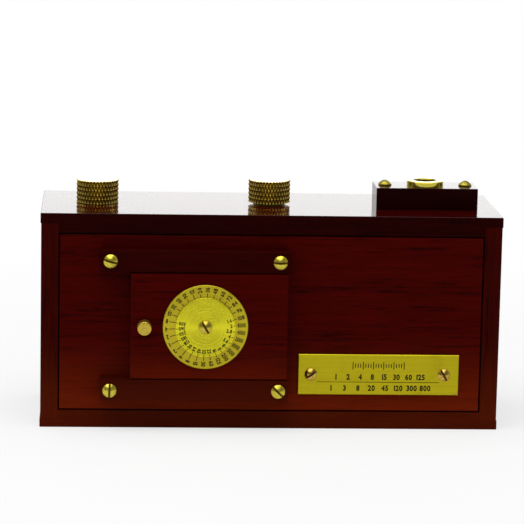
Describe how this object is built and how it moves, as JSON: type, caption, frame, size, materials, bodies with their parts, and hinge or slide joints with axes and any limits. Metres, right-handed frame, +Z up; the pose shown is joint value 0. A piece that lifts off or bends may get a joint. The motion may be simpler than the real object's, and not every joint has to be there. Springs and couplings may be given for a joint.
{
  "type": "pinhole camera",
  "caption": "Wooden box camera for roll film with a sliding shutter over a pinhole, an exposure dial, a winder and a lift-off back.",
  "frame": {"origin": "centre of the underside of the casing", "axes": "+X to the right seen from the front, +Y towards the back, +Z up; the pinhole looks along -Y"},
  "size_m": [0.17, 0.0703, 0.0902],
  "materials": {
    "varnished_wood": "dark red mahogany stain under gloss varnish",
    "blackened_wood": "stained matt black",
    "etched_brass": "satin brass with etched black figures",
    "turned_brass": "turned and knurled brass",
    "screw_brass": "polished brass screws",
    "plain_brass": "plain machined brass",
    "blackened_brass": "chemically blackened",
    "spring_steel": "bright spring steel",
    "spool_plastic": "moulded black plastic",
    "black_felt": "black felt on board",
    "ruby": "clear ruby red"
  },
  "bodies": {
    "casing": {"top_board": "varnished_wood", "bottom_board": "varnished_wood", "left_side_board": "varnished_wood", "right_side_board": "varnished_wood", "front_panel": "varnished_wood", "left_partition": "blackened_wood", "right_partition": "blackened_wood", "upper_gate_strip": "blackened_wood", "lower_gate_strip": "blackened_wood", "left_batten": "blackened_wood", "right_batten": "blackened_wood", "pinhole_plate": "plain_brass", "pinhole_retainer": "blackened_brass", "upper_rail": "varnished_wood", "lower_rail": "varnished_wood", "rail_screws": "screw_brass", "label_plate": "etched_brass", "label_screws": "screw_brass", "winder_bush": "plain_brass", "takeup_pin": "plain_brass", "supply_pin": "plain_brass", "plunger_retainer": "plain_brass", "plunger_spring": "spring_steel", "lock_washer": "plain_brass", "left_nut_guide": "blackened_wood", "right_nut_guide": "blackened_wood", "socket_block": "varnished_wood", "socket_bush": "turned_brass", "block_screws": "screw_brass"},
    "shutter": {"shutter_plate": "varnished_wood", "shutter_pin": "turned_brass", "dial_screw": "screw_brass"},
    "dial_ring": {"dial_ring": "etched_brass"},
    "dial_disc": {"dial_disc": "etched_brass"},
    "takeup_spool": {"takeup_spool": "spool_plastic"},
    "winder": {"winding_knob": "turned_brass", "winding_shaft": "plain_brass"},
    "lock": {"lock_knob": "turned_brass", "lock_stud": "plain_brass", "lock_clip": "spring_steel"},
    "lock_nut": {"lock_nut": "plain_brass"},
    "supply_plunger": {"supply_plunger": "plain_brass"},
    "back": {"back_panel": "varnished_wood", "back_bracket": "plain_brass", "bracket_screws": "screw_brass", "pressure_plate": "black_felt", "ruby_window": "ruby", "cover_screw": "screw_brass"},
    "window_cover": {"window_cover": "plain_brass"}
  },
  "joints": [
    {"name": "shutter_slide", "type": "slide", "parent": "casing", "child": "shutter", "axis": [-1, 0, 0], "range_m": [0, 0.011]},
    {"name": "dial_ring_turn", "type": "hinge", "parent": "shutter", "child": "dial_ring", "pos_m": [-0.0245, -0.0354, 0.03965], "axis": [0, -1, 0], "continuous": true},
    {"name": "dial_disc_turn", "type": "hinge", "parent": "shutter", "child": "dial_disc", "pos_m": [-0.0245, -0.0361, 0.03965], "axis": [0, -1, 0], "continuous": true},
    {"name": "takeup_turn", "type": "hinge", "parent": "casing", "child": "takeup_spool", "pos_m": [-0.0644, 0, 0.03965], "axis": [0, 0, 1], "continuous": true},
    {"name": "winder_lift", "type": "slide", "parent": "takeup_spool", "child": "winder", "axis": [0, 0, 1], "range_m": [0, 0.0048]},
    {"name": "lock_turn", "type": "hinge", "parent": "casing", "child": "lock", "pos_m": [0, 0, 0.08], "axis": [0, 0, 1], "range_deg": [0, 901]},
    {"name": "lock_nut_drop", "type": "slide", "parent": "casing", "child": "lock_nut", "axis": [0, 0, -1], "range_m": [0, 0.002]},
    {"name": "back_slide", "type": "slide", "parent": "casing", "child": "back", "axis": [0, 1, 0], "range_m": [0, 0.06]},
    {"name": "cover_swing", "type": "hinge", "parent": "back", "child": "window_cover", "pos_m": [0, 0.0285, 0.03365], "axis": [0, 1, 0], "range_deg": [-110, 110]},
    {"name": "plunger_press", "type": "slide", "parent": "casing", "child": "supply_plunger", "axis": [0, 0, 1], "range_m": [0, 0.0024], "stiffness_N_per_m": 300, "springref_m": -0.002, "deforming": ["plunger_spring"]}
  ],
  "couplings": [
    {"joint": "lock_turn", "follows": "lock_nut_drop", "rad_per_m": 7854}
  ]
}
